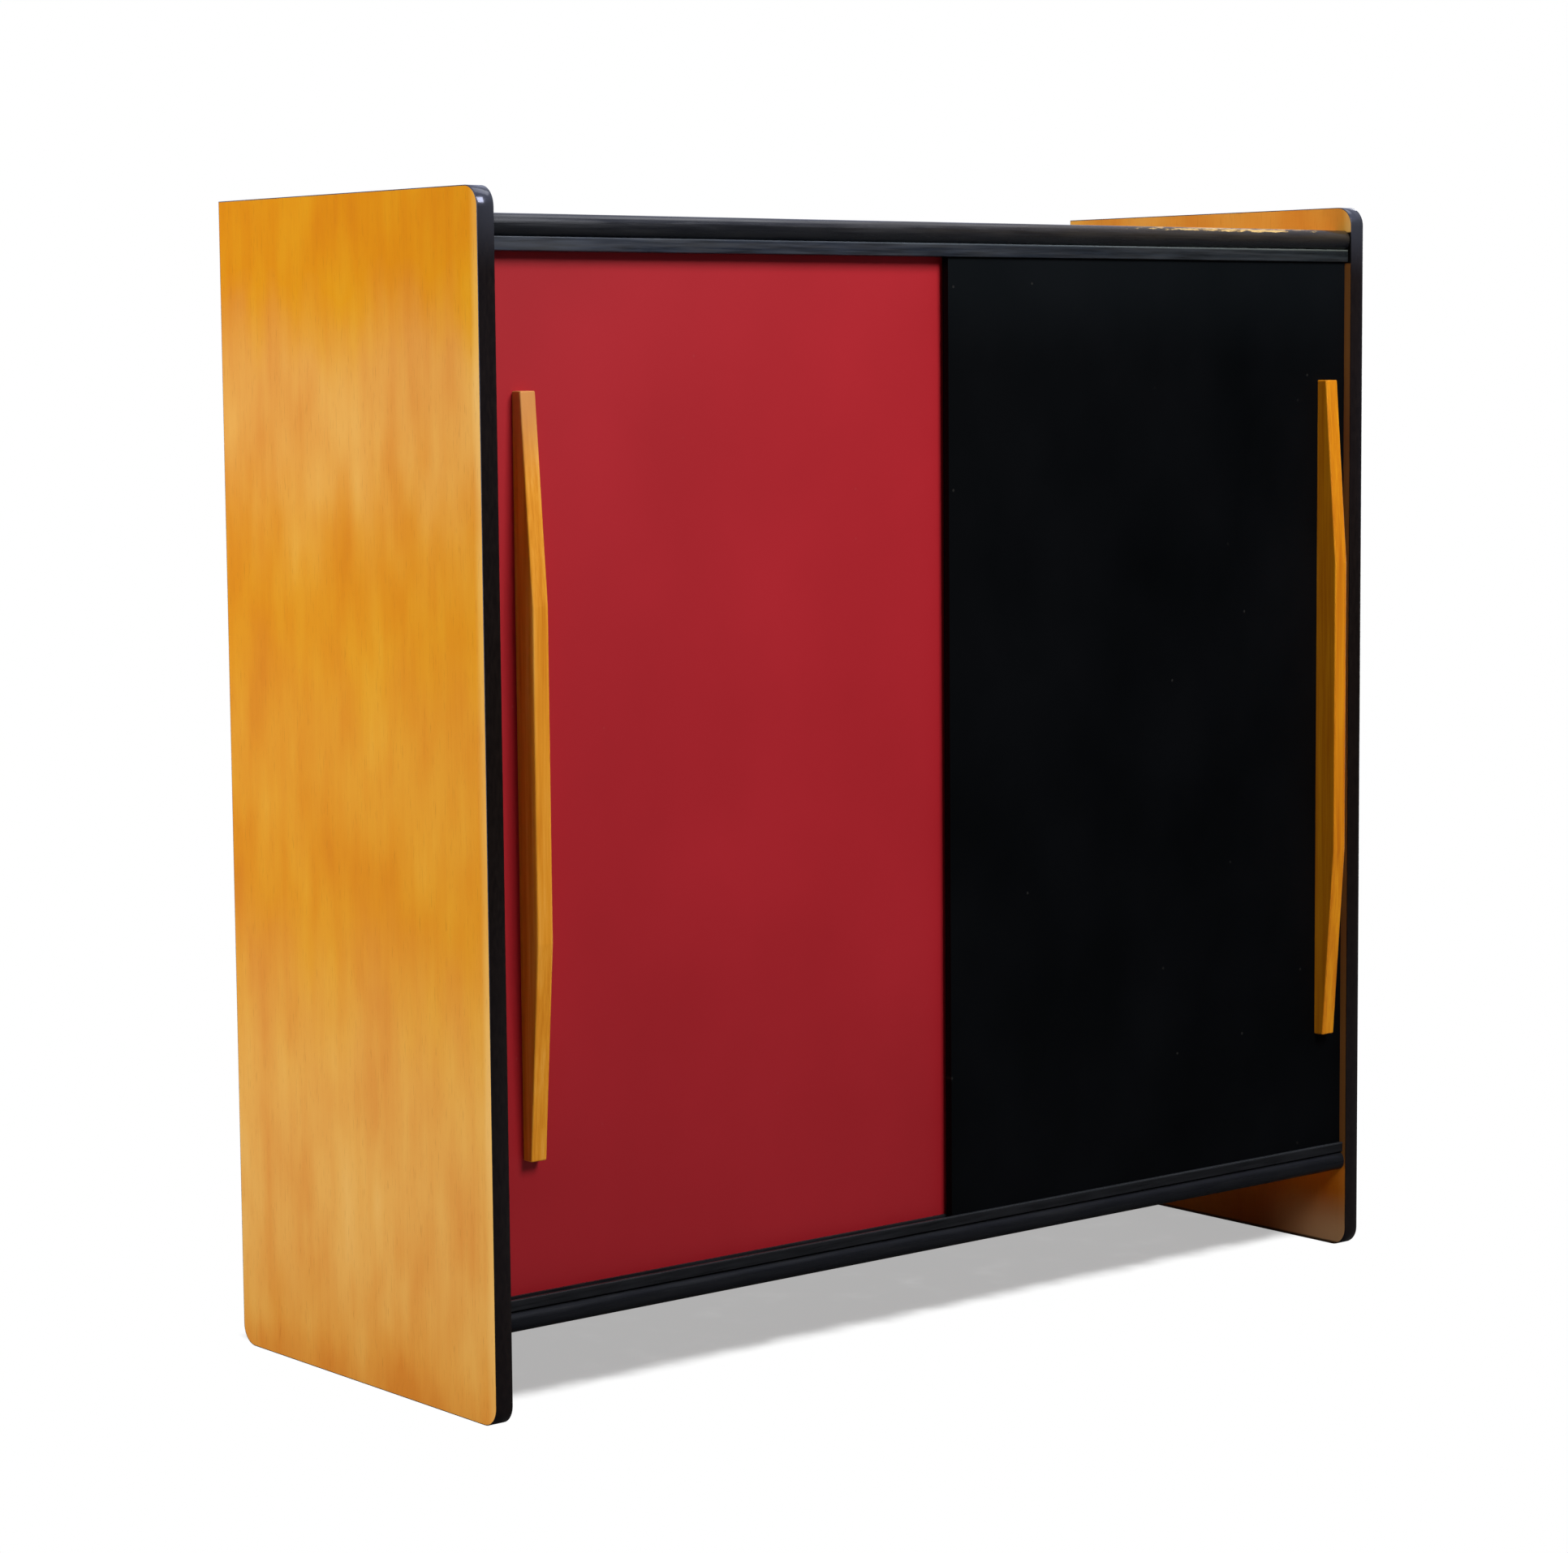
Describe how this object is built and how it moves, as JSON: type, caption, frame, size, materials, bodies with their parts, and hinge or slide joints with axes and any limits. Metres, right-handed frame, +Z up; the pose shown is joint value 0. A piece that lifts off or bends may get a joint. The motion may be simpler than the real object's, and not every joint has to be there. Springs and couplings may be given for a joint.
{
  "type": "side cabinet",
  "caption": "Side cabinet with sliding doors between veneered side panels that stand on the floor; a red door slides behind a black one, both with long wooden handles",
  "frame": {"origin": "on the floor, under the middle of the whole cabinet's bounding box", "axes": "+Z up, +X to the right when the doors are faced, -Y out of the front"},
  "size_m": [1.065, 0.417, 1.04],
  "materials": {
    "honey_veneer": "satin lacquered honey-coloured veneer",
    "inner_veneer": "satin lacquered light veneer",
    "back_plywood": "plain plywood",
    "oiled_handle_wood": "oiled solid wood",
    "beech": "plain turned beech",
    "black_edging": "black edge banding, half gloss",
    "black_lacquer": "black lacquered wood, half gloss",
    "black_track": "black extruded plastic, satin",
    "red_lacquer": "satin red lacquer on a thin board",
    "black_door_lacquer": "satin black lacquer on a thin board",
    "nylon_glide": "plain nylon",
    "nickel_pin": "nickel-plated steel",
    "zinc_screw": "zinc-plated steel"
  },
  "bodies": {
    "carcass": {"left_side_panel": "honey_veneer", "right_side_panel": "honey_veneer", "left_edge_band": "black_edging", "right_edge_band": "black_edging", "top_panel": "honey_veneer", "bottom_panel": "honey_veneer", "top_front_nosing": "black_lacquer", "bottom_front_nosing": "black_lacquer", "top_door_track": "black_track", "bottom_door_track": "black_track", "top_track_screws": "zinc_screw", "bottom_track_screws": "zinc_screw", "top_panel_dowels": "beech", "bottom_panel_dowels": "beech", "divider_dowels": "beech", "centre_divider": "inner_veneer", "divider_edge_band": "black_edging", "left_lower_shelf": "inner_veneer", "left_upper_shelf": "inner_veneer", "right_lower_shelf": "inner_veneer", "right_upper_shelf": "inner_veneer", "shelf_edge_bands": "black_edging", "left_shelf_pins": "nickel_pin", "right_shelf_pins": "nickel_pin", "back_panel": "back_plywood", "back_panel_screws": "zinc_screw"},
    "red_sliding_door": {"red_door": "red_lacquer", "red_door_glides": "nylon_glide", "red_door_handle": "oiled_handle_wood", "red_handle_screws": "zinc_screw"},
    "black_sliding_door": {"black_door": "black_door_lacquer", "black_door_glides": "nylon_glide", "black_door_handle": "oiled_handle_wood", "black_handle_screws": "zinc_screw"}
  },
  "joints": [
    {"name": "red_door_slide", "type": "slide", "parent": "carcass", "child": "red_sliding_door", "axis": [1, 0, 0], "range_m": [0, 0.229]},
    {"name": "black_door_slide", "type": "slide", "parent": "carcass", "child": "black_sliding_door", "axis": [1, 0, 0], "range_m": [-0.229, 0]}
  ]
}
